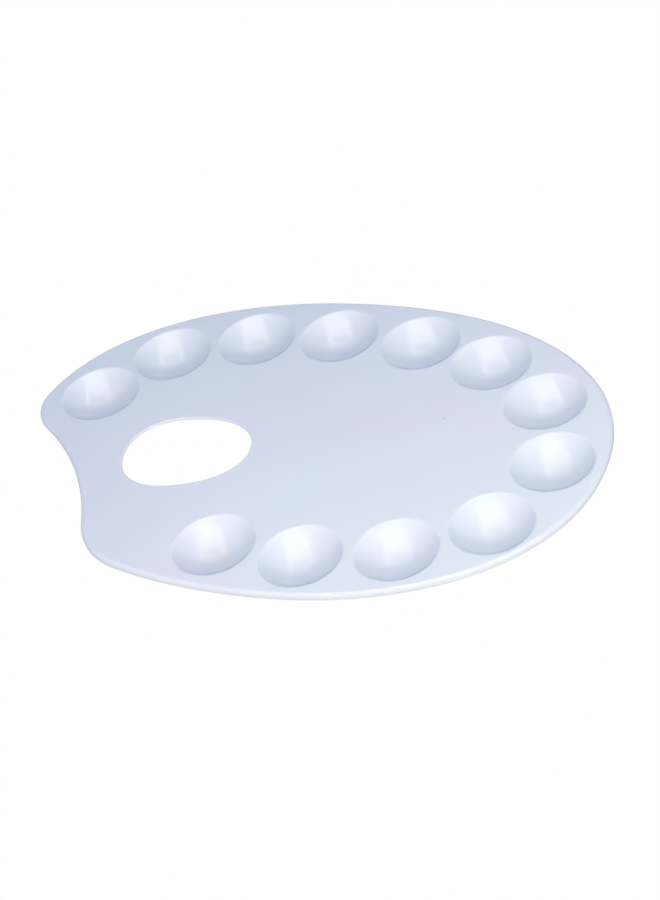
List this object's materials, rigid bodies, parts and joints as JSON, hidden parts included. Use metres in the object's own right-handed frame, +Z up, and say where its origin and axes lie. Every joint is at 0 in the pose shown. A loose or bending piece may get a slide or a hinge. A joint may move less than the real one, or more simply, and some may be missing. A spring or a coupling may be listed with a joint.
{
  "type": "mixing palette",
  "caption": "Egg-shaped white plastic paint palette with a ring of round dished wells, an oval thumb hole and a finger notch in its turned-down rim.",
  "frame": {"origin": "bottom centre of the bounding box, on the plane that the feet under the wells stand on", "axes": "+X along the palette's length, away from the thumb hole; +Y across it, towards the side with more wells; +Z up, out of the wells"},
  "size_m": [0.3419, 0.2325, 0.0108],
  "materials": {
    "palette_plastic": "smooth moulded gloss, white with a cool cast"
  },
  "bodies": {
    "root": {"palette": "palette_plastic"}
  },
  "joints": []
}
